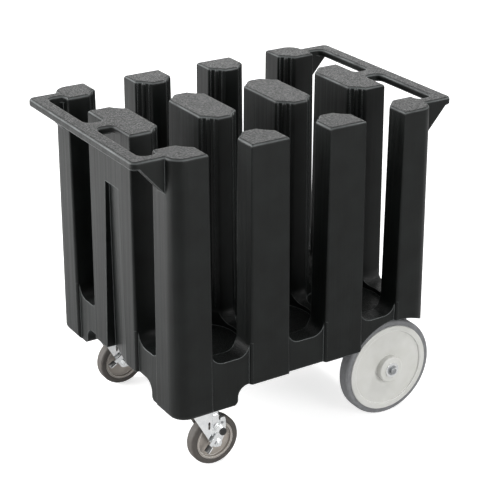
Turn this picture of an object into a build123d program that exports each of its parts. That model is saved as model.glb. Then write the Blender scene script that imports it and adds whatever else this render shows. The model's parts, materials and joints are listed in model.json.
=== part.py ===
from build123d import *
import os
from math import atan2, cos, degrees, radians, sin, sqrt, tan

# Dish caddy: a one-piece hollow moulded body with six plate wells, two large fixed rear wheels
# on a through axle and two braked swivel casters.
# Millimetres. +Z up, the floor at Z = 0, +X towards the large wheels, origin under the middle.

# Body outline, level sizes at the top, from where the draft widens every wall downwards
TOP_Z = 808.0
RIM_Z = 218.5
END_LENGTH = 703.0
SIDE_WIDTH = 601.0
CORNER_R = 36.0
WALL = 6.0
DRAFT = 0.44
EDGE_R = 4.5
MOUTH_R = 3.5
MOUTH_CROSS = 0.3
TOP_R = 7.0
SLAB = 16.0

# Plate wells and the slots and channels that open them
WELL_PITCH = 208.4
WELL_Y = 155.4
WELL_R = 100.0
WELL_FLOOR_Z = 280.0
WELL_STEP = 1.0
FOOT_MARGIN = 2.0
SLOT_WIDTH = 108.0
CHANNEL_WIDTH = 103.0
LIP_Z = 292.0
LIP_R = 31.0
FACE_RECESS = 8.5
OVERRUN = 30.0

# Slanting recess in the middle of the caster end
WEDGE_TOP_Z = 660.0
WEDGE_TOP_DEPTH = 11.0
WEDGE_LOW_DEPTH = 24.0
WEDGE_TOP_FROM = -44.0
WEDGE_TOP_TO = 24.0
WEDGE_LOW_FROM = -60.0
WEDGE_LOW_TO = 42.0

# Push handles at both ends
HANDLE_REACH = 430.0
BAR_WIDTH = 37.0
HANDLE_BEVEL = 3.0
HANDLE_BEVEL_ANGLE = 40.0
ARM_WIDTH = 32.0
WEB_HALF = 22.0
HANDLE_CORNER_R = 15.0
GRIP_CORNER_R = 17.0
GUSSET_Z = 722.0
GUSSET_REACH = 413.0
ARM_BLEND_R = 12.0
HANDLE_ROOT = 20.0

# Caster pods under the body
POD_Z = 171.0
POD_LENGTH = 162.0
POD_WIDTH = 132.0
POD_CORNER_R = 25.0
POD_FOOT_R = 14.0
POD_FLARE_R = 28.0

# Rear wheels, axle and the housing it runs through
WHEEL_R = 127.0
AXLE_X = 268.5
AXLE_R = 8.0
ARCH_R = 148.0
ARCH_Y = 222.0
HOUSING_Y = 212.0
HOUSING_HALF = 40.0
HOUSING_Z = 96.0
HOUSING_R = 22.0
TUNNEL_R = 11.0
TUNNEL_WALL = 6.0
RUN_GAP = 0.3
FIT_GAP = 0.05

BUSH_FLANGE_R = 17.0
BUSH_FLANGE = 2.5
BUSH_LENGTH = 30.0
SPACER_R = 15.0
SPACER = 2.5
DISC_OUT_Y = 269.5
DISC_WIDTH = 38.5
DISC_R = 113.0
RIM_BAND = 15.0
DISC_STEP = 4.0
DISC_WEB = 6.0
HUB_R = 34.0
HUB_PROUD = 13.5
HUB_CORE_R = 24.0
HUB_BUSH_R = 12.0
DISC_RIBS = 8
DISC_RIB = 4.0
TYRE_WIDTH = 33.0
TYRE_OUT_Y = 266.5
TYRE_SHOULDER = 6.0
WASHER_R = 19.0
WASHER = 2.5
CLIP = 1.6
CLIP_R = 13.0
CLIP_GROOVE_R = 6.6
AXLE_TAIL = 6.0
AXLE_CHAMFER = 1.0
CLIP_MOUTH = 11.0
HUB_EDGE_R = 4.0
DISC_EDGE_R = 2.0
DISC_RIB_SET = 6.0

# Casters
CASTER_R = 63.5
CASTER_X = -262.0
CASTER_Y = 235.0
LEAD = 37.0
PLATE_X = 105.0
PLATE_Y = 79.0
PLATE = 4.0
PLATE_R = 8.0
BOLT_SPACING_X = 85.7
BOLT_SPACING_Y = 57.2
BOLT_R = 4.0
BOLT_HOLE_R = 4.5
BOLT_HEAD = 5.3
BOLT_FLATS = 13.0
INSERT_R = 7.0
INSERT_LENGTH = 26.0
BOSS_WALL = 6.0

BALL_R = 3.2
BALL_CIRCLE_R = 24.0
BALLS = 16
CUP_R = 30.0
CUP_WALL = 4.0
CUP_DROP = 10.0
RACE_R = 29.0
RACE_RISE = 4.0
CROWN = 4.0
KINGPIN_R = 6.0
KINGPIN_HEAD_R = 11.5
KINGPIN_HEAD = 7.0
THRUST_WASHER = 1.5
THRUST_WASHER_R = 11.0

CORE_HALF = 17.5
HUB_SIDE_GAP = 0.5
LEG = 3.5
LEG_BOSS_R = 14.0
LEG_TOP_BACK = -67.0
LEG_TOP_FRONT = 3.0
LEG_SLOT_X = -19.5
LEG_SLOT_Z = 48.0
LEG_SLOT_LENGTH = 20.0
LEG_SLOT_WIDTH = 5.5
FORK_BEND_R = 3.0
CASTER_TYRE_WIDTH = 30.0
CASTER_SHOULDER = 7.0
CORE_R = 49.0
CORE_RIM = 5.0
CORE_RIM_WIDTH = 27.0
CORE_WEB = 9.0
CORE_HUB_R = 14.0
CASTER_AXLE_R = 5.0
CASTER_BUSH_R = 6.3
AXLE_FLATS = 16.0
AXLE_HEAD = 6.4
AXLE_NUT = 8.0
BOLT_TIP = 2.0

# Side brake on each caster
BRACKET = 2.5
BRACKET_R = 13.0
BRACKET_BACK = -11.0
BRACKET_STEP_X = 5.0
BRACKET_FRONT = 24.0
BRACKET_TOP_Z = 74.0
BRACKET_STEP_Z = 58.0
BRACKET_LOW_Z = 22.0
BRACKET_CORNER_R = 3.0
LINK = 2.5
LEVER = 3.0
PLATE_GAP = 0.3
PIVOT_X = 8.0
PIVOT_Z = 33.0
PIVOT_R = 3.0
PIVOT_HEAD_R = 5.0
PIVOT_HEAD = 1.5
CAM_R = 9.0
CAM_THROW = 4.5
CAM_GAP = 0.2
EYE_WALL = 3.0
KNOB_R = 9.5
KNOB_WALL = 2.0
KNOB_LENGTH = 10.0
CAP = 4.0
CAP_PLUG = 3.0
CAP_EDGE_R = 1.2
LEVER_LENGTH = 62.0
LEVER_WIDE = 10.0
LEVER_EYE = 2.0
LEVER_ON = 230.0
LEVER_TRAVEL = 21.0
PEDAL_OUT = 13.0
PEDAL_LENGTH = 17.0
PAD = 2.5
SHOE = 3.0
SHOE_WIDE = 14.0
SHOE_GAP = 0.4
GUIDE_R = 2.0
GUIDE_HEAD_R = 3.5
GUIDE_HEAD = 1.2
GUIDE_GAP = 0.1
LINK_WIDE = 11.0
GUIDE_OUT = 19.0

# How close two measures must be to count as the same when corners and edges are picked
SAME = 0.01

# Places that follow from the sizes above
ARM_OUT_Y = SIDE_WIDTH / 2 - CORNER_R
FOOT_Z = LIP_Z + LIP_R + FOOT_MARGIN

# The stack on each end of the rear axle, outwards from the housing
BUSH_OUT = HOUSING_Y + BUSH_FLANGE
SPACER_IN = BUSH_OUT + RUN_GAP
SPACER_OUT = SPACER_IN + SPACER
HUB_IN = SPACER_OUT + RUN_GAP
HUB_OUT = DISC_OUT_Y + HUB_PROUD
WASHER_IN = HUB_OUT + RUN_GAP
CLIP_IN = WASHER_IN + WASHER
CLIP_OUT = CLIP_IN + CLIP
AXLE_END = CLIP_OUT + AXLE_TAIL
BORE_R = AXLE_R + FIT_GAP

# Heights of the swivel, downwards from the pod
PLATE_LOW_Z = POD_Z - PLATE
BALL_Z = PLATE_LOW_Z - RUN_GAP - BALL_R
CROWN_TOP_Z = BALL_Z - BALL_R - RUN_GAP - RACE_RISE
CROWN_LOW_Z = CROWN_TOP_Z - CROWN
NUT_TOP_Z = CROWN_LOW_Z - RUN_GAP - THRUST_WASHER

# Distances from a caster wheel's middle plane, outwards on its brake side
LEG_IN = CORE_HALF + HUB_SIDE_GAP
LEG_OUT = LEG_IN + LEG
BRACKET_OUT = LEG_OUT + BRACKET
LINK_IN = BRACKET_OUT + PLATE_GAP
LINK_OUT = LINK_IN + LINK
LEVER_IN = LINK_OUT + PLATE_GAP
LEVER_OUT = LEVER_IN + LEVER
KNOB_OUT = LEVER_OUT + KNOB_LENGTH

# The brake's pivot seen from the wheel's axle, and the lever's turn each way from its middle place
PIVOT_DISTANCE = sqrt(PIVOT_X**2 + PIVOT_Z**2)
PIVOT_ANGLE = degrees(atan2(PIVOT_Z, PIVOT_X))
LEVER_MIDDLE = LEVER_ON - LEVER_TRAVEL / 2
LEVER_OFF = LEVER_ON - LEVER_TRAVEL
SHOE_TRAVEL = 2 * CAM_THROW * sin(radians(LEVER_TRAVEL / 2))


def growth(z):
    """How far a drafted face stands out at height z from where it is at the top."""
    return (TOP_Z - z) * tan(radians(DRAFT))


def outline(plane_z, inset, size_z=None):
    """The body's plan at height size_z, drawn at height plane_z and drawn in by inset."""
    out = growth(plane_z if size_z is None else size_z) - inset
    with BuildSketch(Plane.XY.offset(plane_z)) as plan:
        RectangleRounded(END_LENGTH + 2 * out, SIDE_WIDTH + 2 * out, CORNER_R + out)
    return plan.sketch


def passage_plan(plane_z, grow, corner_r):
    """Slots, channels and wells in plan at height plane_z, widened by grow, post corners rounded."""
    wide = 2 * grow - 2 * growth(plane_z)
    with BuildSketch(Plane.XY.offset(plane_z)) as plan:
        with GridLocations(WELL_PITCH, 0, 3, 1):
            Rectangle(SLOT_WIDTH + wide, SIDE_WIDTH + 2 * OVERRUN)
        with GridLocations(0, 2 * WELL_Y, 1, 2):
            Rectangle(END_LENGTH + 2 * OVERRUN, CHANNEL_WIDTH + wide)
        with GridLocations(WELL_PITCH, 2 * WELL_Y, 3, 2):
            Circle(WELL_R + wide / 2)
        if corner_r:
            fillet([v for v in plan.vertices() if inside(v, SAME)], corner_r + growth(plane_z))
    return plan.sketch


def inside(point, margin):
    """Whether a vertex or an edge's middle lies inside the body's sides and ends by a margin."""
    middle = point.center()
    return abs(middle.X) < END_LENGTH / 2 - margin and abs(middle.Y) < SIDE_WIDTH / 2 - margin


def mouth_corners(plan, plane_z):
    """The plan corners where the slots open through the sides and the ends at height plane_z."""
    found = []
    for corner in plan.vertices():
        on_side = abs(abs(corner.Y) - SIDE_WIDTH / 2 - growth(plane_z)) < SAME
        on_end = abs(abs(corner.X) - END_LENGTH / 2 - growth(plane_z)) < SAME
        clear_x = abs(corner.X) < END_LENGTH / 2 - CORNER_R - WELL_STEP
        clear_y = abs(corner.Y) < SIDE_WIDTH / 2 - CORNER_R - WELL_STEP
        if (on_side and clear_x) or (on_end and clear_y):
            found.append(corner)
    return found


def level_edges(shape, z):
    """The edges of a shape that lie in the level plane at height z."""
    found = []
    for edge in shape.edges():
        box = edge.bounding_box()
        if abs(box.min.Z - z) < SAME and abs(box.max.Z - z) < SAME:
            found.append(edge)
    return found


def mouth_plan(plane_z, wide):
    """A slot's mouth in plan at height plane_z, its sides curving out to the face along the X axis."""
    half = wide / 2 - growth(plane_z)
    curve = MOUTH_R + growth(plane_z)
    turn = curve * sqrt(0.5)
    with BuildSketch() as plan:
        with BuildLine():
            Polyline((0, OVERRUN), (half + curve, OVERRUN), (half + curve, MOUTH_CROSS))
            ThreePointArc(
                (half + curve, MOUTH_CROSS),
                (half + curve - turn, MOUTH_CROSS - curve + turn),
                (half, MOUTH_CROSS - curve),
            )
            Polyline((half, MOUTH_CROSS - curve), (half, -FACE_RECESS), (0, -FACE_RECESS), (0, OVERRUN))
        make_face()
        mirror(about=Plane.YZ)
    return plan.sketch


def mouths_plan(plane_z):
    """The mouths of all slots and channels in plan at height plane_z."""
    side_y = SIDE_WIDTH / 2 + growth(plane_z)
    end_x = END_LENGTH / 2 + growth(plane_z)
    slot = mouth_plan(plane_z, SLOT_WIDTH)
    channel = mouth_plan(plane_z, CHANNEL_WIDTH)
    with BuildSketch(Plane.XY.offset(plane_z)) as plan:
        for side, turned in ((1, 0), (-1, 180)):
            with Locations([(x, side * side_y) for x in (-WELL_PITCH, 0, WELL_PITCH)]):
                add(slot, rotation=turned)
            with Locations((side * end_x, -WELL_Y), (side * end_x, WELL_Y)):
                add(channel, rotation=turned - 90)
    return plan.sketch


def posts_plan(plane_z):
    """The twelve posts in plan at height plane_z, with every upright corner rounded."""
    with BuildSketch(Plane.XY.offset(plane_z)) as plan:
        add(outline(plane_z, 0))
        add(passage_plan(plane_z, 0, EDGE_R), mode=Mode.SUBTRACT)
        fillet(mouth_corners(plan, plane_z), MOUTH_R + growth(plane_z))
    return plan.sketch


def handles_plan(plane_z):
    """Both push handles in plan at height plane_z: a bar across each end, on two arms and a middle web."""
    root = END_LENGTH / 2 - HANDLE_ROOT
    out = growth(plane_z)
    bar_in = HANDLE_REACH - BAR_WIDTH - out
    bar_out = HANDLE_REACH + out
    with BuildSketch(Plane.XY.offset(plane_z)) as plan:
        with GridLocations(bar_out + bar_in, 0, 2, 1):
            Rectangle(bar_out - bar_in, 2 * (ARM_OUT_Y + out))
        with GridLocations(bar_out + root, 2 * ARM_OUT_Y - ARM_WIDTH, 2, 2):
            Rectangle(bar_out - root, ARM_WIDTH + 2 * out)
        with GridLocations(bar_out + root, 0, 2, 1):
            Rectangle(bar_out - root, 2 * (WEB_HALF + out))
        fillet([v for v in plan.vertices() if abs(abs(v.X) - bar_out) < SAME], HANDLE_CORNER_R + out)
        fillet([v for v in plan.vertices() if abs(abs(v.X) - bar_in) < SAME], GRIP_CORNER_R - out)
    return plan.sketch


def tops():
    """The top slab of the posts and handles, with the rounded edge that runs round it."""
    with BuildPart() as slab:
        with BuildSketch(Plane.XY.offset(TOP_Z)) as plan:
            add(posts_plan(TOP_Z))
            add(handles_plan(TOP_Z))
            roots = [v for v in plan.vertices() if abs(abs(v.X) - END_LENGTH / 2) < SAME]
            arm_sides = (WEB_HALF, ARM_OUT_Y - ARM_WIDTH)
            fillet([v for v in roots if min(abs(abs(v.Y) - y) for y in arm_sides) < SAME], ARM_BLEND_R)
        extrude(amount=-SLAB, taper=-DRAFT)
        for place in [face.center() for face in slab.faces().filter_by_position(Axis.Z, TOP_Z, TOP_Z)]:
            top = slab.faces().filter_by_position(Axis.Z, TOP_Z, TOP_Z).sort_by_distance(place)[0]
            fillet(top.edges(), TOP_R)
    return slab.part


def foot_space():
    """The open space of slots, channels and wells at the foot of the posts, with a rounded bottom."""
    with BuildPart() as space:
        add(passage_plan(FOOT_Z, 0, EDGE_R))
        extrude(amount=LIP_Z - FOOT_Z, taper=DRAFT)
        fillet([e for e in level_edges(space, LIP_Z) if inside(e, -OVERRUN / 2)], LIP_R)
    return space.part


def underside_relief():
    """What the underside lacks around the two caster pods, down from the rim."""
    with BuildPart() as relief:
        with BuildSketch(Plane.XY.offset(POD_Z - OVERRUN)):
            Rectangle(END_LENGTH + 2 * OVERRUN, SIDE_WIDTH + 2 * OVERRUN)
            add(pods_plan(POD_Z - OVERRUN, 0), mode=Mode.SUBTRACT)
        extrude(amount=RIM_Z - POD_Z + OVERRUN)
    return relief.part


def pods_plan(plane_z, inset):
    """The two caster pods in plan, run out past the body's sides and drawn in by inset."""
    far_x = END_LENGTH / 2 + 2 * OVERRUN
    near_x = END_LENGTH / 2 - POD_LENGTH
    far_y = SIDE_WIDTH / 2 + 2 * OVERRUN
    near_y = SIDE_WIDTH / 2 - POD_WIDTH
    with BuildSketch(Plane.XY.offset(plane_z)) as plan:
        with Locations((-(far_x + near_x) / 2, 0)):
            with GridLocations(0, far_y + near_y, 1, 2):
                length = far_x - near_x - 2 * inset
                RectangleRounded(length, far_y - near_y - 2 * inset, POD_CORNER_R - inset)
    return plan.sketch


def panels_plan(plane_z, grow, size_z):
    """The shallow panels below the slots in plan, as at height size_z and widened by grow."""
    wide = 2 * grow - 2 * growth(size_z)
    with BuildSketch(Plane.XY.offset(plane_z)) as plan:
        with GridLocations(WELL_PITCH, SIDE_WIDTH + 2 * growth(size_z), 3, 2):
            Rectangle(SLOT_WIDTH + wide, 2 * (FACE_RECESS + grow))
        with GridLocations(END_LENGTH + 2 * growth(size_z), 2 * WELL_Y, 2, 2):
            Rectangle(2 * (FACE_RECESS + grow), CHANNEL_WIDTH + wide)
    return plan.sketch


def base():
    """The lower body up to the foot of the posts, with its pods, panels and well bottoms."""
    with BuildPart() as lower:
        add(outline(FOOT_Z, 0))
        extrude(amount=POD_Z - FOOT_Z, taper=-DRAFT)
        add(underside_relief(), mode=Mode.SUBTRACT)
        roots = [e for e in level_edges(lower, RIM_Z) if inside(e, FACE_RECESS) and e.center().X < 0]
        fillet(roots, POD_FLARE_R)
        fillet(level_edges(lower, POD_Z), POD_FOOT_R)
        add(mouths_plan(FOOT_Z))
        extrude(amount=POD_Z - OVERRUN - FOOT_Z, taper=DRAFT, mode=Mode.SUBTRACT)
        add(foot_space(), mode=Mode.SUBTRACT)
        with BuildSketch(Plane.XY.offset(WELL_FLOOR_Z)):
            with GridLocations(WELL_PITCH, 2 * WELL_Y, 3, 2):
                Circle(WELL_R - growth(WELL_FLOOR_Z) - WELL_STEP)
        extrude(amount=FOOT_Z + FOOT_MARGIN - WELL_FLOOR_Z, taper=-DRAFT, mode=Mode.SUBTRACT)
    return lower.part


def wedge_space(grow):
    """The slanting recess in the caster end, from its ledge down through the rim, drawn out by grow."""
    levels = (
        (WEDGE_TOP_Z + grow, WEDGE_TOP_DEPTH, WEDGE_TOP_FROM, WEDGE_TOP_TO),
        (RIM_Z - FOOT_MARGIN, WEDGE_LOW_DEPTH, WEDGE_LOW_FROM, WEDGE_LOW_TO),
    )
    with BuildPart() as space:
        for level_z, depth, ramp_y, wall_y in levels:
            face_x = -END_LENGTH / 2 - growth(level_z)
            with BuildSketch(Plane.XY.offset(level_z)):
                with BuildLine():
                    Polyline(
                        (face_x - OVERRUN, ramp_y - grow),
                        (face_x, ramp_y - grow),
                        (face_x + depth + grow, wall_y + grow),
                        (face_x - OVERRUN, wall_y + grow),
                        close=True,
                    )
                make_face()
        loft(ruled=True)
    return space.part


def round_bar(x, z, radius, y_from, y_to):
    """A round bar that runs along Y through x and z."""
    low, high = sorted((y_from, y_to))
    with BuildPart() as bar:
        with BuildSketch(Plane.XZ.offset(-high)):
            with Locations((x, z)):
                Circle(radius)
        extrude(amount=high - low)
    return bar.part


def ring(x, z, outer_r, bore_r, y_from, y_to):
    """A plain ring or sleeve round an axis that runs along Y through x and z."""
    low, high = sorted((y_from, y_to))
    with BuildPart() as piece:
        with BuildSketch(Plane.XZ.offset(-high)):
            with Locations((x, z)):
                Circle(outer_r)
                Circle(bore_r, mode=Mode.SUBTRACT)
        extrude(amount=high - low)
    return piece.part


def arches(grow):
    """The wheel arches, from the ends of the axle housing outwards, drawn out by grow."""
    outside = SIDE_WIDTH / 2 + OVERRUN
    with BuildPart() as space:
        for side in (-1, 1):
            add(round_bar(AXLE_X, WHEEL_R, ARCH_R + grow, side * (ARCH_Y - grow), side * outside))
    return space.part


def bolt_places():
    """The places in plan of the eight caster bolts."""
    places = []
    for side in (-1, 1):
        for along in (-1, 1):
            for across in (-1, 1):
                x = CASTER_X + along * BOLT_SPACING_X / 2
                y = side * CASTER_Y + across * BOLT_SPACING_Y / 2
                places.append((x, y))
    return places


def cavity():
    """The sealed hollow inside the moulding, a wall's thickness inside its faces."""
    floor_z = RIM_Z + WALL
    ceiling_z = WELL_FLOOR_Z - WALL
    overlap = FOOT_MARGIN
    with BuildPart() as hollow:
        with BuildSketch(Plane.XY.offset(floor_z)):
            add(outline(floor_z, WALL, ceiling_z))
            add(panels_plan(floor_z, WALL, ceiling_z), mode=Mode.SUBTRACT)
        extrude(amount=ceiling_z - floor_z)
        with BuildSketch(Plane.XY.offset(TOP_Z - WALL)):
            add(outline(TOP_Z - WALL, WALL))
            add(passage_plan(TOP_Z - WALL, WALL, 0), mode=Mode.SUBTRACT)
        extrude(amount=ceiling_z - overlap + WALL - TOP_Z)
        with BuildSketch(Plane.XY.offset(POD_Z + WALL)):
            add(pods_plan(POD_Z + WALL, WALL))
            add(outline(POD_Z + WALL, WALL, floor_z), mode=Mode.INTERSECT)
            add(panels_plan(POD_Z + WALL, WALL, floor_z), mode=Mode.SUBTRACT)
        extrude(amount=floor_z + overlap - POD_Z - WALL)
        add(housing(WALL, floor_z + overlap))
        add(arches(WALL), mode=Mode.SUBTRACT)
        tunnel_wall = round_bar(AXLE_X, WHEEL_R, TUNNEL_R + TUNNEL_WALL, -HOUSING_Y, HOUSING_Y)
        add(tunnel_wall, mode=Mode.SUBTRACT)
        with BuildSketch(Plane.XY.offset(POD_Z)):
            with Locations(bolt_places()):
                Circle(INSERT_R + BOSS_WALL)
        extrude(amount=INSERT_LENGTH + BOSS_WALL, mode=Mode.SUBTRACT)
        add(wedge_space(WALL), mode=Mode.SUBTRACT)
    return hollow.part


def housing(inset, top_z):
    """The beam under the wheel end that carries the axle, drawn in by inset for its hollow."""
    height = top_z - HOUSING_Z - inset
    with BuildPart() as beam:
        with BuildSketch(Plane.XZ.offset(inset - HOUSING_Y)) as section:
            with Locations((AXLE_X, top_z - height / 2)):
                Rectangle(2 * (HOUSING_HALF - inset), height)
            fillet(section.vertices().group_by(Axis.Y)[0], HOUSING_R - inset)
        extrude(amount=2 * (HOUSING_Y - inset))
    return beam.part


def gussets():
    """The sloping gussets under the handle arms, as wide as the arms and out to their corners."""
    root = END_LENGTH / 2 - HANDLE_ROOT
    under = TOP_Z - SLAB
    out = growth(under)
    with BuildPart() as ribs:
        for arm_y in (ARM_WIDTH - ARM_OUT_Y, ARM_OUT_Y):
            with BuildSketch(Plane.XZ.offset(-arm_y - out)):
                with BuildLine():
                    Polyline(
                        (root, GUSSET_Z),
                        (END_LENGTH / 2, GUSSET_Z),
                        (GUSSET_REACH, under),
                        (root, under),
                        close=True,
                    )
                make_face()
                mirror(about=Plane.YZ)
            extrude(amount=ARM_WIDTH + 2 * out)
    return ribs.part


def hexagon_bar(x, z, flats, y_from, y_to):
    """A hexagonal bar that runs along Y through x and z, flats across its flats."""
    low, high = sorted((y_from, y_to))
    with BuildPart() as bar:
        with BuildSketch(Plane.XZ.offset(-high)):
            with Locations((x, z)):
                RegularPolygon(flats / 2, 6, major_radius=False)
        extrude(amount=high - low)
    return bar.part


def save(piece, name):
    """Label a finished piece and write it under the same name."""
    piece.label = name
    export_step(piece, "parts/" + name + ".step")


os.makedirs("parts", exist_ok=True)

# The hollow moulding, made up from its lower body, posts, tops and handles
with BuildPart() as body_moulding:
    add(base())
    add(housing(0, RIM_Z + WALL))
    add(arches(0), mode=Mode.SUBTRACT)
    add(posts_plan(TOP_Z - SLAB))
    extrude(amount=FOOT_Z + SLAB - TOP_Z, taper=-DRAFT)
    add(tops())
    add(handles_plan(TOP_Z - SLAB))
    extrude(amount=-HANDLE_BEVEL, taper=HANDLE_BEVEL_ANGLE)
    add(gussets())
    add(wedge_space(0), mode=Mode.SUBTRACT)
    add(round_bar(AXLE_X, WHEEL_R, TUNNEL_R, -HOUSING_Y, HOUSING_Y), mode=Mode.SUBTRACT)
    with BuildSketch(Plane.XY.offset(POD_Z)):
        with Locations(bolt_places()):
            Circle(INSERT_R)
    extrude(amount=INSERT_LENGTH, mode=Mode.SUBTRACT)
    add(cavity(), mode=Mode.SUBTRACT)
save(body_moulding.part, "body_moulding")

# Rear axle: a plain bar through the housing, grooved near both ends for its clips
with BuildPart() as rear_axle:
    add(round_bar(AXLE_X, WHEEL_R, AXLE_R, -AXLE_END, AXLE_END))
    chamfer(rear_axle.edges().filter_by(GeomType.CIRCLE), AXLE_CHAMFER)
    for side in (-1, 1):
        groove = ring(AXLE_X, WHEEL_R, BORE_R, CLIP_GROOVE_R, side * CLIP_IN, side * CLIP_OUT)
        add(groove, mode=Mode.SUBTRACT)
save(rear_axle.part, "rear_axle")


def axle_bush(side):
    """The flanged bush pressed into one end of the axle housing."""
    inner_y = HOUSING_Y - BUSH_LENGTH
    with BuildPart() as bush:
        add(ring(AXLE_X, WHEEL_R, TUNNEL_R - FIT_GAP, BORE_R, side * inner_y, side * HOUSING_Y))
        add(ring(AXLE_X, WHEEL_R, BUSH_FLANGE_R, BORE_R, side * HOUSING_Y, side * BUSH_OUT))
    return bush.part


def wheel_disc(side):
    """The moulded wheel: a rim band, a set-back web with ribs behind it and a hub that stands proud."""
    web_out = DISC_OUT_Y - DISC_STEP
    web_in = web_out - DISC_WEB
    rim_in = DISC_OUT_Y - DISC_WIDTH
    rib_in = rim_in + DISC_RIB_SET
    rib_length = DISC_R - RIM_BAND / 2 - HUB_CORE_R + DISC_RIB
    with BuildPart() as disc:
        add(ring(AXLE_X, WHEEL_R, DISC_R, DISC_R - RIM_BAND, side * rim_in, side * DISC_OUT_Y))
        add(ring(AXLE_X, WHEEL_R, DISC_R - RIM_BAND / 2, HUB_BUSH_R, side * web_in, side * web_out))
        add(ring(AXLE_X, WHEEL_R, HUB_CORE_R, HUB_BUSH_R, side * HUB_IN, side * web_out))
        add(ring(AXLE_X, WHEEL_R, HUB_R, HUB_BUSH_R, side * web_in, side * HUB_OUT))
        with BuildSketch(Plane.XZ.offset(-side * web_in)):
            with Locations((AXLE_X, WHEEL_R)):
                with PolarLocations(HUB_CORE_R - DISC_RIB + rib_length / 2, DISC_RIBS):
                    Rectangle(rib_length, DISC_RIB)
        extrude(amount=side * (web_in - rib_in))
        circles = disc.edges().filter_by(GeomType.CIRCLE)
        hub_face = [e for e in circles if abs(abs(e.center().Y) - HUB_OUT) < SAME]
        fillet([e for e in hub_face if e.radius > HUB_BUSH_R + SAME], HUB_EDGE_R)
        circles = disc.edges().filter_by(GeomType.CIRCLE)
        fillet([e for e in circles if abs(abs(e.center().Y) - DISC_OUT_Y) < SAME], DISC_EDGE_R)
    return disc.part


def tyre(x, z, radius, bore_r, middle_y, width, shoulder):
    """A solid tyre with rounded shoulders round an axis along Y."""
    with BuildPart() as band:
        add(ring(x, z, radius, bore_r, middle_y - width / 2, middle_y + width / 2))
        circles = band.edges().filter_by(GeomType.CIRCLE)
        fillet([e for e in circles if abs(e.radius - radius) < SAME], shoulder)
    return band.part


def axle_clip(side):
    """The open retaining clip in an axle groove."""
    low, high = sorted((side * CLIP_IN, side * CLIP_OUT))
    with BuildPart() as clip:
        with BuildSketch(Plane.XZ.offset(-high)):
            with Locations((AXLE_X, WHEEL_R)):
                Circle(CLIP_R)
                Circle(CLIP_GROOVE_R + FIT_GAP, mode=Mode.SUBTRACT)
            with Locations((AXLE_X + CLIP_R / 2, WHEEL_R)):
                Rectangle(CLIP_R + CLIP_GROOVE_R, CLIP_MOUTH, mode=Mode.SUBTRACT)
        extrude(amount=high - low)
    return clip.part


# Rear wheels and what holds them on the axle, near side first
for side, name in ((-1, "near"), (1, "far")):
    tyre_y = side * (TYRE_OUT_Y - TYRE_WIDTH / 2)
    tyre_in_r = DISC_R + FIT_GAP
    hub_bush = ring(AXLE_X, WHEEL_R, HUB_BUSH_R - FIT_GAP, BORE_R, side * HUB_IN, side * HUB_OUT)
    spacer = ring(AXLE_X, WHEEL_R, SPACER_R, BORE_R, side * SPACER_IN, side * SPACER_OUT)
    washer = ring(AXLE_X, WHEEL_R, WASHER_R, BORE_R, side * WASHER_IN, side * CLIP_IN)
    save(axle_bush(side), name + "_axle_bush")
    save(wheel_disc(side), name + "_wheel_disc")
    wheel_tyre = tyre(AXLE_X, WHEEL_R, WHEEL_R, tyre_in_r, tyre_y, TYRE_WIDTH, TYRE_SHOULDER)
    save(wheel_tyre, name + "_wheel_tyre")
    save(hub_bush, name + "_hub_bush")
    save(spacer, name + "_hub_spacer")
    save(washer, name + "_axle_washer")
    save(axle_clip(side), name + "_axle_clip")

# The bolts that hold both caster plates, and the threaded inserts in the pods that take them
with BuildPart() as caster_bolts:
    with BuildSketch(Plane.XY.offset(PLATE_LOW_Z)):
        with Locations(bolt_places()):
            RegularPolygon(BOLT_FLATS / 2, 6, major_radius=False)
    extrude(amount=-BOLT_HEAD)
    with BuildSketch(Plane.XY.offset(PLATE_LOW_Z)):
        with Locations(bolt_places()):
            Circle(BOLT_R)
    extrude(amount=PLATE + INSERT_LENGTH - BOLT_HEAD / 2)
save(caster_bolts.part, "caster_bolts")

with BuildPart() as threaded_inserts:
    with BuildSketch(Plane.XY.offset(POD_Z)):
        with Locations(bolt_places()):
            Circle(INSERT_R - FIT_GAP)
            Circle(BOLT_R + FIT_GAP, mode=Mode.SUBTRACT)
    extrude(amount=INSERT_LENGTH)
save(threaded_inserts.part, "threaded_inserts")


def caster_plate(middle_y):
    """The bolted top plate of a caster, with the cup that shrouds its ball race."""
    with BuildPart() as plate:
        with BuildSketch(Plane.XY.offset(PLATE_LOW_Z)):
            with Locations((CASTER_X, middle_y)):
                RectangleRounded(PLATE_X, PLATE_Y, PLATE_R)
                Circle(KINGPIN_R + FIT_GAP, mode=Mode.SUBTRACT)
                with GridLocations(BOLT_SPACING_X, BOLT_SPACING_Y, 2, 2):
                    Circle(BOLT_HOLE_R, mode=Mode.SUBTRACT)
        extrude(amount=PLATE)
        with BuildSketch(Plane.XY.offset(PLATE_LOW_Z)):
            with Locations((CASTER_X, middle_y)):
                Circle(CUP_R + CUP_WALL)
                Circle(CUP_R, mode=Mode.SUBTRACT)
        extrude(amount=-CUP_DROP)
    return plate.part


def swivel_balls(middle_y):
    """The ring of balls between the plate and the fork."""
    with BuildPart() as balls:
        with Locations((CASTER_X, middle_y, BALL_Z)):
            with PolarLocations(BALL_CIRCLE_R, BALLS):
                Sphere(BALL_R)
    return balls.part


def kingpin(middle_y):
    """The kingpin that hangs the fork from the plate, with its hexagonal head."""
    with BuildPart() as pin:
        with BuildSketch(Plane.XY.offset(NUT_TOP_Z)):
            with Locations((CASTER_X, middle_y)):
                RegularPolygon(KINGPIN_HEAD_R, 6)
        extrude(amount=-KINGPIN_HEAD)
        with BuildSketch(Plane.XY.offset(NUT_TOP_Z)):
            with Locations((CASTER_X, middle_y)):
                Circle(KINGPIN_R)
        extrude(amount=POD_Z - NUT_TOP_Z)
    return pin.part


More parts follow.
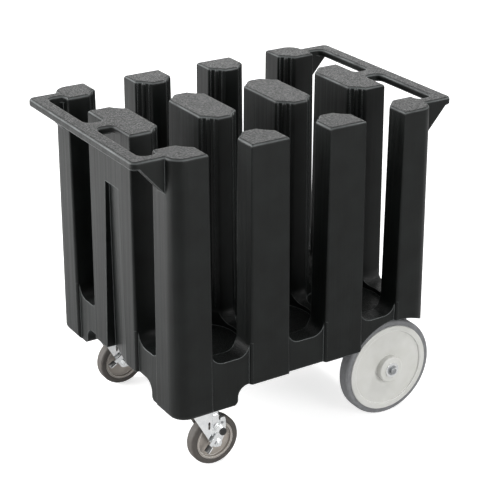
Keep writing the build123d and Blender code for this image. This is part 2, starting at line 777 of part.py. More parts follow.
def thrust_washer(middle_y):
    """The washer between the fork and the kingpin's head."""
    with BuildPart() as washer:
        with BuildSketch(Plane.XY.offset(NUT_TOP_Z)):
            with Locations((CASTER_X, middle_y)):
                Circle(THRUST_WASHER_R)
                Circle(KINGPIN_R + FIT_GAP, mode=Mode.SUBTRACT)
        extrude(amount=THRUST_WASHER)
    return washer.part


def side_plane(middle_y, out):
    """An upright plane through a caster's axle, out from the wheel's middle on its brake side."""
    return Plane(origin=(CASTER_X + LEAD, middle_y - out, CASTER_R), x_dir=(1, 0, 0), z_dir=(0, -1, 0))


def fork(middle_y):
    """The pressed fork: crown, raised ball race and two legs that narrow down to the axle."""
    top = CROWN_TOP_Z - CASTER_R
    with BuildPart() as legs:
        for out in (LEG_IN, -LEG_OUT):
            with BuildSketch(side_plane(middle_y, out)):
                with BuildLine():
                    CenterArc((0, 0), LEG_BOSS_R, 0, 360)
                    Line((LEG_TOP_BACK, top), (LEG_TOP_FRONT, top))
                make_hull()
                Circle(CASTER_AXLE_R + FIT_GAP, mode=Mode.SUBTRACT)
                with Locations((LEG_SLOT_X, LEG_SLOT_Z)):
                    SlotOverall(LEG_SLOT_LENGTH, LEG_SLOT_WIDTH, rotation=90, mode=Mode.SUBTRACT)
            extrude(amount=LEG)
        with BuildSketch(Plane.XY.offset(CROWN_LOW_Z)):
            with Locations((CASTER_X + LEAD + (LEG_TOP_BACK + LEG_TOP_FRONT) / 2, middle_y)):
                Rectangle(LEG_TOP_FRONT - LEG_TOP_BACK, 2 * LEG_OUT)
        extrude(amount=CROWN)
        crown_edges = level_edges(legs, CROWN_TOP_Z)
        fillet([e for e in crown_edges if abs(abs(e.center().Y - middle_y) - LEG_OUT) < SAME], FORK_BEND_R)
        with BuildSketch(Plane.XY.offset(CROWN_TOP_Z)):
            with Locations((CASTER_X, middle_y)):
                Circle(RACE_R)
        extrude(amount=RACE_RISE)
        with BuildSketch(Plane.XY.offset(CROWN_LOW_Z)):
            with Locations((CASTER_X, middle_y)):
                Circle(KINGPIN_R + FIT_GAP)
        extrude(amount=CROWN + RACE_RISE, mode=Mode.SUBTRACT)
    return legs.part


def axle_bolt(middle_y):
    """The caster wheel's axle bolt, its head away from the brake."""
    x = CASTER_X + LEAD
    far_y = middle_y + LEG_OUT
    end_y = middle_y - BRACKET_OUT - AXLE_NUT - BOLT_TIP
    with BuildPart() as bolt:
        add(hexagon_bar(x, CASTER_R, AXLE_FLATS, far_y, far_y + AXLE_HEAD))
        add(round_bar(x, CASTER_R, CASTER_AXLE_R, end_y, far_y))
    return bolt.part


def axle_nut(middle_y):
    """The lock nut on the axle bolt, over the brake bracket."""
    x = CASTER_X + LEAD
    near_y = middle_y - BRACKET_OUT
    end_y = near_y - AXLE_NUT
    with BuildPart() as nut:
        add(hexagon_bar(x, CASTER_R, AXLE_FLATS, end_y, near_y))
        add(round_bar(x, CASTER_R, CASTER_AXLE_R + FIT_GAP, end_y, near_y), mode=Mode.SUBTRACT)
    return nut.part


def caster_core(middle_y):
    """The caster wheel's core: a hub, a web and a rim."""
    x = CASTER_X + LEAD
    bore_r = CASTER_BUSH_R + FIT_GAP
    rim_in_r = CORE_R - CORE_RIM
    web_half = CORE_WEB / 2
    rim_half = CORE_RIM_WIDTH / 2
    with BuildPart() as core:
        add(ring(x, CASTER_R, CORE_HUB_R, bore_r, middle_y - CORE_HALF, middle_y + CORE_HALF))
        add(ring(x, CASTER_R, CORE_R - CORE_RIM / 2, bore_r, middle_y - web_half, middle_y + web_half))
        add(ring(x, CASTER_R, CORE_R, rim_in_r, middle_y - rim_half, middle_y + rim_half))
    return core.part


def brake_bracket(middle_y):
    """The flat bracket that holds the brake on the fork's leg, clamped under the axle nut."""
    with BuildPart() as bracket:
        with BuildSketch(side_plane(middle_y, LEG_OUT)) as plate:
            with BuildLine():
                Polyline(
                    (BRACKET_BACK, 0),
                    (BRACKET_BACK, BRACKET_TOP_Z),
                    (BRACKET_STEP_X, BRACKET_TOP_Z),
                    (BRACKET_STEP_X, BRACKET_STEP_Z),
                    (BRACKET_FRONT, BRACKET_STEP_Z),
                    (BRACKET_FRONT, BRACKET_LOW_Z),
                    (BRACKET_R, 0),
                    close=True,
                )
            make_face()
            fillet([v for v in plate.vertices() if v.Y > SAME], BRACKET_CORNER_R)
            Circle(BRACKET_R)
            Circle(CASTER_AXLE_R + FIT_GAP, mode=Mode.SUBTRACT)
            with Locations((PIVOT_X, PIVOT_Z)):
                Circle(PIVOT_R + FIT_GAP, mode=Mode.SUBTRACT)
            with PolarLocations(PIVOT_DISTANCE + GUIDE_OUT, 1, start_angle=PIVOT_ANGLE):
                Circle(GUIDE_R + FIT_GAP, mode=Mode.SUBTRACT)
        extrude(amount=BRACKET)
    return bracket.part


def brake_pivots(middle_y):
    """The lever's pivot rivet and the shoe's guide rivet, both set in the bracket."""
    with BuildPart() as rivets:
        for distance, pin_r, head_r, head, head_out in (
            (PIVOT_DISTANCE, PIVOT_R, PIVOT_HEAD_R, PIVOT_HEAD, LEVER_OUT + PLATE_GAP),
            (PIVOT_DISTANCE + GUIDE_OUT, GUIDE_R, GUIDE_HEAD_R, GUIDE_HEAD, LINK_OUT + PLATE_GAP),
        ):
            with BuildSketch(side_plane(middle_y, LEG_OUT)):
                with PolarLocations(distance, 1, start_angle=PIVOT_ANGLE):
                    Circle(pin_r)
            extrude(amount=head_out - LEG_OUT)
            with BuildSketch(side_plane(middle_y, head_out)):
                with PolarLocations(distance, 1, start_angle=PIVOT_ANGLE):
                    Circle(head_r)
            extrude(amount=head)
    return rivets.part


def lever_plane(middle_y, out, angle):
    """The upright plane with its origin on the lever's pivot and its X axis along the lever."""
    along = (cos(radians(angle)), 0, sin(radians(angle)))
    pivot = (CASTER_X + LEAD + PIVOT_X, middle_y - out, CASTER_R + PIVOT_Z)
    return Plane(origin=pivot, x_dir=along, z_dir=(0, -1, 0))


def brake_lever(middle_y, angle):
    """The foot lever: eye and arm, the cam behind them, the knob's ring and the bent-out pedal."""
    cam_turn = radians(PIVOT_ANGLE + 90 - LEVER_MIDDLE)
    with BuildPart() as lever:
        with BuildSketch(lever_plane(middle_y, LEVER_IN, angle)):
            Circle(KNOB_R + LEVER_EYE)
            with Locations((LEVER_LENGTH / 2, 0)):
                Rectangle(LEVER_LENGTH, LEVER_WIDE)
        extrude(amount=LEVER)
        with BuildSketch(lever_plane(middle_y, LINK_IN, angle)):
            with Locations((CAM_THROW * cos(cam_turn), CAM_THROW * sin(cam_turn))):
                Circle(CAM_R)
        extrude(amount=LEVER_IN - LINK_IN)
        with BuildSketch(lever_plane(middle_y, LEVER_OUT, angle)):
            Circle(KNOB_R)
            Circle(KNOB_R - KNOB_WALL, mode=Mode.SUBTRACT)
        extrude(amount=KNOB_LENGTH - CAP)
        with BuildSketch(lever_plane(middle_y, LEVER_IN, angle)):
            with Locations((LEVER_LENGTH - PEDAL_LENGTH / 2, (LEVER - LEVER_WIDE) / 2)):
                Rectangle(PEDAL_LENGTH, LEVER)
        extrude(amount=LEVER + PEDAL_OUT)
        with BuildSketch(lever_plane(middle_y, LINK_IN, angle)):
            Circle(PIVOT_R + FIT_GAP)
        extrude(amount=LEVER_OUT - LINK_IN, mode=Mode.SUBTRACT)
    return lever.part


def knob_cap(middle_y, angle):
    """The plastic cap plugged into the knob's ring."""
    with BuildPart() as cap:
        with BuildSketch(lever_plane(middle_y, KNOB_OUT - CAP, angle)):
            Circle(KNOB_R)
        extrude(amount=CAP)
        fillet(cap.faces().sort_by(Axis.Y)[0].edges(), CAP_EDGE_R)
        with BuildSketch(lever_plane(middle_y, KNOB_OUT - CAP - CAP_PLUG, angle)):
            Circle(KNOB_R - KNOB_WALL - FIT_GAP)
        extrude(amount=CAP_PLUG)
    return cap.part


def pedal_pad(middle_y, angle):
    """The soft pad on the pedal."""
    with BuildPart() as pad:
        with BuildSketch(lever_plane(middle_y, LEVER_IN, angle)):
            with Locations((LEVER_LENGTH - PEDAL_LENGTH / 2, -(LEVER_WIDE + PAD) / 2)):
                Rectangle(PEDAL_LENGTH, PAD)
        extrude(amount=LEVER + PEDAL_OUT)
    return pad.part


def link_plane(middle_y, out):
    """The upright plane through the caster's axle with its X axis towards the lever's pivot."""
    along = (cos(radians(PIVOT_ANGLE)), 0, sin(radians(PIVOT_ANGLE)))
    return Plane(origin=(CASTER_X + LEAD, middle_y - out, CASTER_R), x_dir=along, z_dir=(0, -1, 0))


def brake_shoe(middle_y, angle):
    """The sliding link: an eye round the cam, a guide slot, and the shoe bent in over the tread."""
    shift = -CAM_THROW * sin(radians(angle - LEVER_MIDDLE))
    eye_r = CAM_R + CAM_GAP
    shoe_in = CASTER_R + SHOE_GAP + SHOE_TRAVEL / 2 + shift
    shoe_out = shoe_in + SHOE
    with BuildPart() as link:
        with BuildSketch(link_plane(middle_y, LINK_IN)):
            with Locations(((PIVOT_DISTANCE + shoe_in) / 2, 0)):
                Rectangle(shoe_in - PIVOT_DISTANCE + SHOE, LINK_WIDE)
            with Locations((PIVOT_DISTANCE + shift, CAM_THROW)):
                Circle(eye_r + EYE_WALL)
                Circle(eye_r, mode=Mode.SUBTRACT)
            with Locations((PIVOT_DISTANCE + GUIDE_OUT + shift, 0)):
                slot_r = GUIDE_R + GUIDE_GAP
                SlotCenterToCenter(SHOE_TRAVEL, 2 * slot_r, mode=Mode.SUBTRACT)
        extrude(amount=LINK)
        with BuildSketch(link_plane(middle_y, -SHOE_WIDE / 2)):
            Circle(shoe_out)
            Circle(shoe_in, mode=Mode.SUBTRACT)
            with Locations((shoe_out, 0)):
                Rectangle(shoe_out, LINK_WIDE, mode=Mode.INTERSECT)
        extrude(amount=LINK_OUT + SHOE_WIDE / 2)
    return link.part


# Both casters: the near one with its brake trodden down, the far one with its brake off
for side, name, angle in ((-1, "near_caster", LEVER_ON), (1, "far_caster", LEVER_OFF)):
    y = side * CASTER_Y
    x = CASTER_X + LEAD
    save(caster_plate(y), name + "_plate")
    save(swivel_balls(y), name + "_balls")
    save(kingpin(y), name + "_kingpin")
    save(thrust_washer(y), name + "_thrust_washer")
    save(fork(y), name + "_fork")
    save(axle_bolt(y), name + "_axle_bolt")
    save(axle_nut(y), name + "_axle_nut")
    bush_bore_r = CASTER_AXLE_R + FIT_GAP
    save(ring(x, CASTER_R, CASTER_BUSH_R, bush_bore_r, y - LEG_IN, y + LEG_IN), name + "_bush")
    save(caster_core(y), name + "_core")
    tyre_in_r = CORE_R + FIT_GAP
    save(tyre(x, CASTER_R, CASTER_R, tyre_in_r, y, CASTER_TYRE_WIDTH, CASTER_SHOULDER), name + "_tyre")
    save(brake_bracket(y), name + "_brake_bracket")
    save(brake_pivots(y), name + "_brake_pivots")
    save(brake_lever(y, angle), name + "_brake_lever")
    save(knob_cap(y, angle), name + "_knob_cap")
    save(pedal_pad(y, angle), name + "_pedal_pad")
    save(brake_shoe(y, angle), name + "_brake_shoe")
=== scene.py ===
import json
import bmesh
import bpy
import numpy as np
from mathutils import Matrix, Vector


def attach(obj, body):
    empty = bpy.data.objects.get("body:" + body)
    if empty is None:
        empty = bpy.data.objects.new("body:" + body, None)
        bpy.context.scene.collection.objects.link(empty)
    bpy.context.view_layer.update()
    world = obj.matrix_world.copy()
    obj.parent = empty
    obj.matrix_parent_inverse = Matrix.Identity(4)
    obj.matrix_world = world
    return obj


# Looks of the dish caddy: a charcoal moulded body, off-white rear wheels and zinc-plated casters.
# Metres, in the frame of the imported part. The caster end is at -X and the near side at -Y.

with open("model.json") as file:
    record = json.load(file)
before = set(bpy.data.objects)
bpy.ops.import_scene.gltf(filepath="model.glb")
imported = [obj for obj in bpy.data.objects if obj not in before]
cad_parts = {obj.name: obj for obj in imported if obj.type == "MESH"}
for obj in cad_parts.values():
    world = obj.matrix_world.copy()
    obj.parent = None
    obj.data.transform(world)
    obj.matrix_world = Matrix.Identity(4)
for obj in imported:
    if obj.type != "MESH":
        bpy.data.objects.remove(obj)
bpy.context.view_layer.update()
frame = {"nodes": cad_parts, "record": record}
MM = 0.001

# Sizes repeated from the part, in millimetres and degrees
TOP_Z = 808.0
DRAFT = 0.44
WELL_PITCH = 208.4
WELL_Y = 155.4
WELL_R = 100.0
POST_FOOT_Z = 325.0

# Sizes of the patterns and of the rounded edges, in millimetres
CLOUD = 60.0
PEBBLE = 3.4
STREAK = 11.0
SHOULDER_DEEP = 36.0
SPANGLE = 9.0
ROLLED_GRAIN = 0.8
FLOW_MARK = 40.0
SPARK_GRAIN = 0.7
SCUFF = 12.0
BODY_ROUND = 3.0
STEEL_ROUND = 0.5
PLASTIC_ROUND = 2.4
RUBBER_ROUND = 1.5


def linear(code):
    """An sRGB hex colour as linear red, green, blue and alpha."""
    parts = np.array([int(code[i:i + 2], 16) for i in (1, 3, 5)]) / 255.0
    low = parts / 12.92
    high = ((parts + 0.055) / 1.055) ** 2.4
    return (*np.where(parts <= 0.04045, low, high), 1.0)


def add_node(tree, kind, inputs=None, **settings):
    """Add a node with its settings. An input is a value, or the node or socket that feeds it."""
    made = tree.nodes.new("ShaderNode" + kind)
    for name, value in settings.items():
        setattr(made, name, value)
    for key, value in (inputs or {}).items():
        if isinstance(value, bpy.types.Node):
            value = value.outputs[0]
        if isinstance(value, bpy.types.NodeSocket):
            tree.links.new(value, made.inputs[key])
        else:
            made.inputs[key].default_value = value
    return made


def start(name):
    """A new empty material, its node tree and its Object coordinates, scaled to millimetres."""
    made = bpy.data.materials.new(name)
    made.use_nodes = True
    tree = made.node_tree
    tree.nodes.clear()
    coords = add_node(tree, "TexCoord").outputs["Object"]
    scaled = add_node(tree, "VectorMath", {0: coords, "Scale": 1 / MM}, operation="SCALE")
    return made, tree, scaled


def moulded_polyethylene():
    """Rotationally moulded polyethylene in charcoal.

    It gives the eye satin walls with drawn streaks, pebbled tops and pale edges, partly rubbed wear
    and partly painted highlight.
    """
    made, tree, mm = start("moulded_polyethylene_charcoal")
    normal = add_node(tree, "NewGeometry").outputs["Normal"]
    up = add_node(tree, "SeparateXYZ", {"Vector": normal}).outputs["Z"]
    top = add_node(tree, "MapRange", {"Value": up, "From Min": 0.3, "From Max": 0.9})
    wall = add_node(tree, "Math", {0: 1.0, 1: top}, operation="SUBTRACT")
    # Pigment clouds: the slight mottle of the resin over a broad face
    cloud = add_node(tree, "TexNoise", {"Vector": mm, "Scale": 1 / CLOUD, "Detail": 3.0})
    cloudy = add_node(tree, "MapRange", {"Value": cloud, "From Min": 0.35, "From Max": 0.65})
    # Pebble of the mould: the speckle of the level tops
    pebble = add_node(tree, "TexNoise", {"Vector": mm, "Scale": 1 / PEBBLE, "Detail": 2.0,
                                         "Roughness": 0.6})
    # Streaks drawn down the walls, half a metre long: their faint upright bands
    drawn = add_node(tree, "VectorMath", {0: mm, 1: (1.0, 1.0, 0.02)}, operation="MULTIPLY")
    streak = add_node(tree, "TexNoise", {"Vector": drawn, "Scale": 1 / STREAK, "Detail": 3.0})
    streaky = add_node(tree, "MapRange", {"Value": streak, "From Min": 0.3, "From Max": 0.7})
    # Edges, where the rounded normal leaves the face: the pale line along each rim, partly rubbed
    # wear and partly painted highlight
    rounded = add_node(tree, "Bevel", {"Radius": BODY_ROUND * MM}, samples=6)
    turned = add_node(tree, "VectorMath", {0: rounded, 1: normal}, operation="DOT_PRODUCT")
    edges = add_node(tree, "MapRange", {"Value": turned.outputs["Value"],
                                        "From Min": 0.992, "From Max": 0.9})
    # Painted highlight on the slope from wall to top, near the tops: the pale rim of each post, its
    # strength uneven with the pigment clouds
    slope = add_node(tree, "Math", {0: top, 1: wall}, operation="MULTIPLY")
    height = add_node(tree, "SeparateXYZ", {"Vector": mm}).outputs["Z"]
    near_top = add_node(tree, "MapRange", {"Value": height, "From Min": TOP_Z - SHOULDER_DEEP,
                                          "From Max": TOP_Z - SHOULDER_DEEP / 2})
    shoulder_highlight = add_node(tree, "Math", {0: slope, 1: near_top}, operation="MULTIPLY")
    shoulder_strength = add_node(tree, "MapRange", {"Value": cloudy, "To Min": 0.3, "To Max": 0.75})
    shoulder_highlight = add_node(tree, "MapRange", {"Value": shoulder_highlight, "From Max": 0.25, "To Max": shoulder_strength})
    wear_and_highlight = add_node(tree, "Math", {0: edges, 1: shoulder_highlight}, operation="MAXIMUM")
    resin = add_node(tree, "Mix", {0: cloudy, 6: linear("#090b0a"), 7: linear("#101312")},
                     data_type="RGBA")
    # Painted highlight along the rims and shoulders: the pale #6f7373 mixed into the resin, partly
    # rubbed wear on the edges
    worn_and_highlit = add_node(tree, "Mix", {0: wear_and_highlight, 6: resin.outputs[2], 7: linear("#6f7373")},
                    data_type="RGBA")
    wall_rough = add_node(tree, "MapRange", {"Value": streaky, "To Min": 0.36, "To Max": 0.5})
    top_rough = add_node(tree, "MapRange", {"Value": pebble, "From Min": 0.35, "From Max": 0.65,
                                            "To Min": 0.3, "To Max": 0.62})
    skin_rough = add_node(tree, "Mix", {0: top, 2: wall_rough, 3: top_rough})
    # Rubbing also polishes an edge, and the same mask lowers the roughness on the shoulders: the
    # bright line that each rim gives under the lamps
    rough = add_node(tree, "Mix", {0: wear_and_highlight, 2: skin_rough, 3: 0.27})
    streak_height = add_node(tree, "Math", {0: streak, 1: wall}, operation="MULTIPLY")
    walls = add_node(tree, "Bump", {"Height": streak_height, "Distance": 0.6 * MM, "Strength": 1.0,
                                    "Normal": rounded})
    grain_share = add_node(tree, "MapRange", {"Value": top, "To Min": 0.12, "To Max": 1.0})
    grain = add_node(tree, "Math", {0: pebble, 1: grain_share}, operation="MULTIPLY")
    skin = add_node(tree, "Bump", {"Height": grain, "Distance": 1.5 * MM, "Strength": 1.0,
                                   "Normal": walls})
    surface = add_node(tree, "BsdfPrincipled", {"Base Color": worn_and_highlit.outputs[2], "Roughness": rough,
                                                "Specular IOR Level": 0.2, "Normal": skin})
    add_node(tree, "OutputMaterial", {"Surface": surface})
    return made


def zinc_plated_steel():
    """Bright zinc plate on pressed steel: nearly white, with a faint cloud and soft reflections."""
    made, tree, mm = start("zinc_plated_steel_bright")
    # Spangle of the plating: slow changes of gloss over the fork
    cloud = add_node(tree, "TexNoise", {"Vector": mm, "Scale": 1 / SPANGLE, "Detail": 2.0})
    cloudy = add_node(tree, "MapRange", {"Value": cloud, "From Min": 0.35, "From Max": 0.65})
    # Rolling grain of the sheet under the plate, below a millimetre: softens the reflections
    grain = add_node(tree, "TexNoise", {"Vector": mm, "Scale": 1 / ROLLED_GRAIN, "Detail": 2.0})
    colour = add_node(tree, "Mix", {0: cloudy, 6: linear("#e6e8e9"), 7: linear("#f2f3f3")},
                      data_type="RGBA")
    rough = add_node(tree, "MapRange", {"Value": cloudy, "To Min": 0.16, "To Max": 0.24})
    rounded = add_node(tree, "Bevel", {"Radius": STEEL_ROUND * MM}, samples=4)
    skin = add_node(tree, "Bump", {"Height": grain, "Distance": 0.02 * MM, "Strength": 1.0,
                                   "Normal": rounded})
    surface = add_node(tree, "BsdfPrincipled", {"Base Color": colour.outputs[2], "Roughness": rough,
                                                "Metallic": 1.0, "Normal": skin})
    add_node(tree, "OutputMaterial", {"Surface": surface})
    return made


def turned_metal(name, dark, light):
    """Turned bar without plating: fine rings round its axis along Y, left by the tool."""
    made, tree, mm = start(name)
    # Tool marks 1 mm apart along the bar and long round it: the soft rings of a turned end
    drawn = add_node(tree, "VectorMath", {0: mm, 1: (0.025, 1.0, 0.025)}, operation="MULTIPLY")
    rings = add_node(tree, "TexNoise", {"Vector": drawn, "Scale": 1.0, "Detail": 1.0})
    ringed = add_node(tree, "MapRange", {"Value": rings, "From Min": 0.35, "From Max": 0.65})
    colour = add_node(tree, "Mix", {0: ringed, 6: linear(dark), 7: linear(light)},
                      data_type="RGBA")
    rough = add_node(tree, "MapRange", {"Value": ringed, "To Min": 0.3, "To Max": 0.42})
    skin = add_node(tree, "Bump", {"Height": rings, "Distance": 0.02 * MM, "Strength": 1.0})
    surface = add_node(tree, "BsdfPrincipled", {"Base Color": colour.outputs[2], "Roughness": rough,
                                                "Metallic": 1.0, "Normal": skin})
    add_node(tree, "OutputMaterial", {"Surface": surface})
    return made


def moulded_plastic(name, dark, light, edge, rough_low, rough_high):
    """Hard moulded plastic: a faint cloud of colour, a fine grain and lighter edges, partly rubbed
    wear and partly painted highlight.
    """
    made, tree, mm = start(name)
    normal = add_node(tree, "NewGeometry").outputs["Normal"]
    # Flow marks: the slow change of tone over the wheel's face
    cloud = add_node(tree, "TexNoise", {"Vector": mm, "Scale": 1 / FLOW_MARK, "Detail": 2.0})
    cloudy = add_node(tree, "MapRange", {"Value": cloud, "From Min": 0.35, "From Max": 0.65})
    # Spark-eroded grain of the mould: it keeps the highlights soft
    grain = add_node(tree, "TexNoise", {"Vector": mm, "Scale": 1 / SPARK_GRAIN, "Detail": 2.0})
    rounded = add_node(tree, "Bevel", {"Radius": PLASTIC_ROUND * MM}, samples=4)
    turned = add_node(tree, "VectorMath", {0: rounded, 1: normal}, operation="DOT_PRODUCT")
    wear_and_highlight = add_node(tree, "MapRange", {"Value": turned.outputs["Value"],
                                         "From Min": 0.995, "From Max": 0.92})
    resin = add_node(tree, "Mix", {0: cloudy, 6: linear(dark), 7: linear(light)},
                     data_type="RGBA")
    # Painted highlight along the edges: the lighter edge colour mixed in, partly rubbed wear
    worn_and_highlit = add_node(tree, "Mix", {0: wear_and_highlight, 6: resin.outputs[2], 7: linear(edge)},
                    data_type="RGBA")
    rough = add_node(tree, "MapRange", {"Value": cloudy, "To Min": rough_low,
                                        "To Max": rough_high})
    skin = add_node(tree, "Bump", {"Height": grain, "Distance": 0.02 * MM, "Strength": 1.0,
                                   "Normal": rounded})
    surface = add_node(tree, "BsdfPrincipled", {"Base Color": worn_and_highlit.outputs[2], "Roughness": rough,
                                                "Specular IOR Level": 0.5, "Normal": skin})
    add_node(tree, "OutputMaterial", {"Surface": surface})
    return made


def moulded_rubber(name, dark, light, dust):
    """Thermoplastic rubber of a tyre: dull and scuffed, with pale floor dust on its edges."""
    made, tree, mm = start(name)
    normal = add_node(tree, "NewGeometry").outputs["Normal"]
    # Scuffs a third as wide as they are long: the uneven grey of a rolled tyre
    drawn = add_node(tree, "VectorMath", {0: mm, 1: (1.0, 3.0, 1.0)}, operation="MULTIPLY")
    scuff = add_node(tree, "TexNoise", {"Vector": drawn, "Scale": 1 / SCUFF, "Detail": 4.0})
    scuffed = add_node(tree, "MapRange", {"Value": scuff, "From Min": 0.35, "From Max": 0.65})
    # Grain of the mould, 1 mm: keeps the tread dull
    grain = add_node(tree, "TexNoise", {"Vector": mm, "Scale": 1.0, "Detail": 2.0})
    rounded = add_node(tree, "Bevel", {"Radius": RUBBER_ROUND * MM}, samples=4)
    turned = add_node(tree, "VectorMath", {0: rounded, 1: normal}, operation="DOT_PRODUCT")
    edges = add_node(tree, "MapRange", {"Value": turned.outputs["Value"],
                                        "From Min": 0.99, "From Max": 0.85})
    rubber = add_node(tree, "Mix", {0: scuffed, 6: linear(dark), 7: linear(light)},
                      data_type="RGBA")
    dusty = add_node(tree, "Mix", {0: edges, 6: rubber.outputs[2], 7: linear(dust)},
                     data_type="RGBA")
    rough = add_node(tree, "MapRange", {"Value": scuffed, "To Min": 0.55, "To Max": 0.72})
    skin = add_node(tree, "Bump", {"Height": grain, "Distance": 0.1 * MM, "Strength": 1.0,
                                   "Normal": rounded})
    surface = add_node(tree, "BsdfPrincipled", {"Base Color": dusty.outputs[2], "Roughness": rough,
                                                "Specular IOR Level": 0.35, "Normal": skin})
    add_node(tree, "OutputMaterial", {"Surface": surface})
    return made


# Finishes by the slot that the record gives each piece
finishes = {
    "polyethylene": moulded_polyethylene(),
    "zinc_steel": zinc_plated_steel(),
    "plain_steel": turned_metal("turned_steel", "#9a9c9e", "#b4b6b7"),
    "brass": turned_metal("turned_brass", "#b08d4f", "#c6a468"),
    "nylon": moulded_plastic("machined_nylon", "#b9b5a8", "#c9c5b9", "#d6d2c6", 0.4, 0.5),
    "wheel_plastic": moulded_plastic(
        "moulded_plastic_off_white", "#c9c9c4", "#cfcfcb", "#f0f0ee", 0.38, 0.46),
    "core_plastic": moulded_plastic(
        "moulded_plastic_grey_beige", "#9c958d", "#a8a19a", "#f8f6f3", 0.4, 0.5),
    "black_plastic": moulded_plastic(
        "moulded_plastic_black", "#101111", "#191a1a", "#3a3b3b", 0.28, 0.36),
    "grey_rubber": moulded_rubber("moulded_rubber_grey", "#6d6e70", "#7a7b7d", "#929395"),
}
# The small tyres are a browner grey than the large ones
caster_rubber = moulded_rubber("moulded_rubber_caster_grey", "#46423f", "#534f4b", "#7c7873")
for part in frame["record"]["subparts"]:
    body = frame["nodes"][part["node"]]
    body.data.materials.clear()
    if part["node"].endswith("caster_tyre"):
        body.data.materials.append(caster_rubber)
    else:
        body.data.materials.append(finishes[part["material_slot"]])

# Guide ribs on the walls of the wells: degrees from the slots, half width and how far they
# stand out, then the length of their rounded ends and their place below the tops
RIBS = ((36.5, 2.2, 1.7), (45.0, 5.5, 3.2), (53.5, 2.2, 1.7))
RIB_END = 6.0
RIB_TOP = 2.0
RIB_ROWS = 25
RIB_RINGS = 16
MERGE = 0.002


def well_ribs():
    """Half-round ribs down the walls of the wells, as upright rods sunk half into the wall.

    A ring of a rod at height z is its axis plus (proud cos u, half sin u), across and along the
    wall, times sqrt(1 - (1 - t) ** 2). Here t runs from 0 at either end to 1 over the first
    RIB_END. The axis leans with the draft of the wall.
    """
    low, high = POST_FOOT_Z + RIB_END / 2, TOP_Z - RIB_TOP
    z = low + (high - low) * (1 - np.cos(np.linspace(0, np.pi, RIB_ROWS))) / 2
    t = np.clip(np.minimum(z - low, high - z) / RIB_END, 0, 1)
    shrink = np.sqrt(np.clip(1 - (1 - t) ** 2, 0, 1))
    u = np.linspace(0, 2 * np.pi, RIB_RINGS, endpoint=False)
    lean = (TOP_Z - z) * np.tan(np.radians(DRAFT))
    level = np.broadcast_to(z[:, None], (RIB_ROWS, RIB_RINGS))
    rods = []
    for angle, half, proud in RIBS:
        across = WELL_R - lean[:, None] + proud * shrink[:, None] * np.cos(u)
        along = half * shrink[:, None] * np.sin(u)
        for turn in np.radians([angle, -angle, 180 - angle, angle - 180]):
            x = across * np.cos(turn) - along * np.sin(turn)
            y = across * np.sin(turn) + along * np.cos(turn)
            rods += [np.stack([well_x + x, well_y + y, level], -1)
                     for well_x in (-WELL_PITCH, 0.0, WELL_PITCH) for well_y in (-WELL_Y, WELL_Y)]
    return np.array(rods)


def add_tubes(name, points):
    """A piece made of closed tubes, from points (tubes, rows, columns, 3).

    Each row of points is joined to the next round the tube, and the end rows shrink to a point.
    """
    tubes, rows, columns = points.shape[:3]
    row, column = np.meshgrid(np.arange(rows - 1), np.arange(columns), indexing="ij")
    after = (column + 1) % columns
    quads = np.stack([row * columns + column, row * columns + after,
                      (row + 1) * columns + after, (row + 1) * columns + column], -1).reshape(-1, 4)
    faces = (quads[None] + np.arange(tubes)[:, None, None] * rows * columns).reshape(-1, 4)
    mesh = bpy.data.meshes.new(name)
    mesh.from_pydata((points.reshape(-1, 3) * MM).tolist(), [], faces.tolist())
    work = bmesh.new()
    work.from_mesh(mesh)
    bmesh.ops.remove_doubles(work, verts=work.verts, dist=MERGE * MM)
    bmesh.ops.recalc_face_normals(work, faces=work.faces)
    work.to_mesh(mesh)
    work.free()
    mesh.shade_smooth()
    made = bpy.data.objects.new(name, mesh)
    bpy.context.scene.collection.objects.link(made)
    return made


ribs = add_tubes("well_ribs", well_ribs())
ribs.data.materials.append(finishes["polyethylene"])
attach(ribs, "body")

# Plain pale floor, white to the camera where nothing shades it. Metres
FLOOR_HALF = 40.0
FLOOR_Z = -0.0004
FLOOR_GLOW = 0.66
floor_mesh = bpy.data.meshes.new("floor")
corners = [(x * FLOOR_HALF, y * FLOOR_HALF, FLOOR_Z)
           for x, y in ((-1, -1), (1, -1), (1, 1), (-1, 1))]
floor_mesh.from_pydata(corners, [], [(0, 1, 2, 3)])
floor = bpy.data.objects.new("floor", floor_mesh)
bpy.context.scene.collection.objects.link(floor)
pale = bpy.data.materials.new("pale_floor")
pale.use_nodes = True
tree = pale.node_tree
tree.nodes.clear()
path = add_node(tree, "LightPath")
glow_strength = add_node(tree, "Math", {0: path.outputs["Is Camera Ray"], 1: FLOOR_GLOW},
                         operation="MULTIPLY")
paint = add_node(tree, "BsdfDiffuse", {"Color": linear("#e8e8e8")})
glow = add_node(tree, "Emission", {"Color": linear("#ffffff"), "Strength": glow_strength})
both = add_node(tree, "AddShader", {0: paint, 1: glow})
add_node(tree, "OutputMaterial", {"Surface": both})
floor.data.materials.append(pale)

# World: soft fill, and white where the camera, metal and plastic see it
WORLD_FILL = 0.3
world = bpy.data.worlds.new("studio")
bpy.context.scene.world = world
world.use_nodes = True
tree = world.node_tree
tree.nodes.clear()
path = add_node(tree, "LightPath")
seen = add_node(tree, "Math", {0: path.outputs["Is Camera Ray"], 1: path.outputs["Is Glossy Ray"]},
                operation="MAXIMUM")
seen = add_node(tree, "Math", {0: seen, 1: path.outputs["Is Transmission Ray"]},
                operation="MAXIMUM")
strength = add_node(tree, "MapRange", {"Value": seen, "To Min": WORLD_FILL, "To Max": 1.0})
light = add_node(tree, "Background", {"Color": linear("#ffffff"), "Strength": strength})
add_node(tree, "OutputWorld", {"Surface": light})

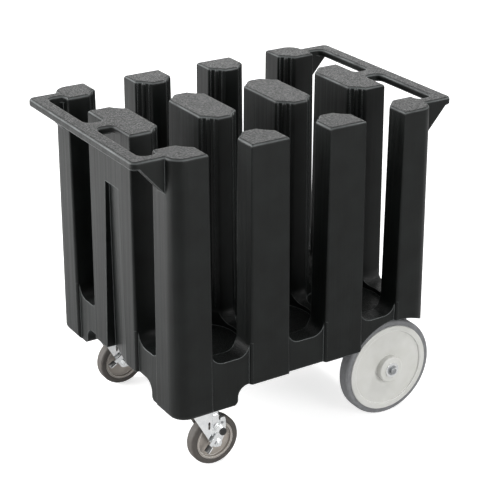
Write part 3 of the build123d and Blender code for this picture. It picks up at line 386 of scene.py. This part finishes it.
# Softboxes: name, place, point aimed at and side of the square in metres, and power in watts.
# The back one lights the tops, and the rim ones draw the bright line along their edges
SOFTBOXES = (
    ("overhead_softbox", (-0.2, -0.4, 3.4), (0.0, 0.0, 0.5), 2.2, 6),
    ("back_softbox", (1.9, 3.1, 2.3), (0.0, 0.0, 0.75), 3.0, 45),
    ("end_softbox", (-3.0, 1.6, 1.3), (0.0, 0.0, 0.45), 2.0, 175),
    ("front_softbox", (0.9, -4.4, 1.6), (0.0, 0.0, 0.4), 2.4, 98),
    ("near_rim_softbox", (1.9, -1.6, 3.6), (0.0, 0.0, 0.6), 0.8, 45),
    ("end_rim_softbox", (-1.6, 3.2, 2.7), (0.0, 0.0, 0.6), 0.8, 40),
)
for name, place, aim, size, power in SOFTBOXES:
    lamp = bpy.data.lights.new(name, "AREA")
    lamp.size = size
    lamp.energy = power
    made = bpy.data.objects.new(name, lamp)
    made.location = place
    made.rotation_mode = "QUATERNION"
    made.rotation_quaternion = (Vector(aim) - Vector(place)).to_track_quat("-Z", "Y")
    bpy.context.scene.collection.objects.link(made)

# Camera at the photograph's angle, fitted to the wheels, the tops and the slot edges. Degrees,
# metres, and a lens that follows from the fitted focal length in pixels
VIEW_TURN = -32.005
VIEW_RISE = 23.814
VIEW_FAR = 3.764
VIEW_ASIDE = 0.02399
VIEW_UP = 0.00993
VIEW_AIM_Z = 0.4
SENSOR = 36.0
FOCAL_PIXELS = 1515.95
FRAME_PIXELS = 500
VIEW_LENS = FOCAL_PIXELS / FRAME_PIXELS * SENSOR
VIEW_END = 200.0

turn, rise = np.radians(VIEW_TURN), np.radians(VIEW_RISE)
back = Vector((np.sin(turn) * np.cos(rise), -np.cos(turn) * np.cos(rise), np.sin(rise)))
right = Vector((np.cos(turn), np.sin(turn), 0.0))
up = back.cross(right)
camera = bpy.data.objects.new("camera", bpy.data.cameras.new("camera"))
camera.data.lens = VIEW_LENS
camera.data.sensor_width = SENSOR
aim = Vector((0, 0, VIEW_AIM_Z))
camera.location = aim + back * VIEW_FAR + right * VIEW_ASIDE + up * VIEW_UP
camera.rotation_mode = "QUATERNION"
camera.rotation_quaternion = Matrix((right, up, back)).transposed().to_quaternion()
camera.data.clip_end = VIEW_END
bpy.context.scene.collection.objects.link(camera)
bpy.context.scene.camera = camera
bpy.context.scene.view_settings.view_transform = "Standard"
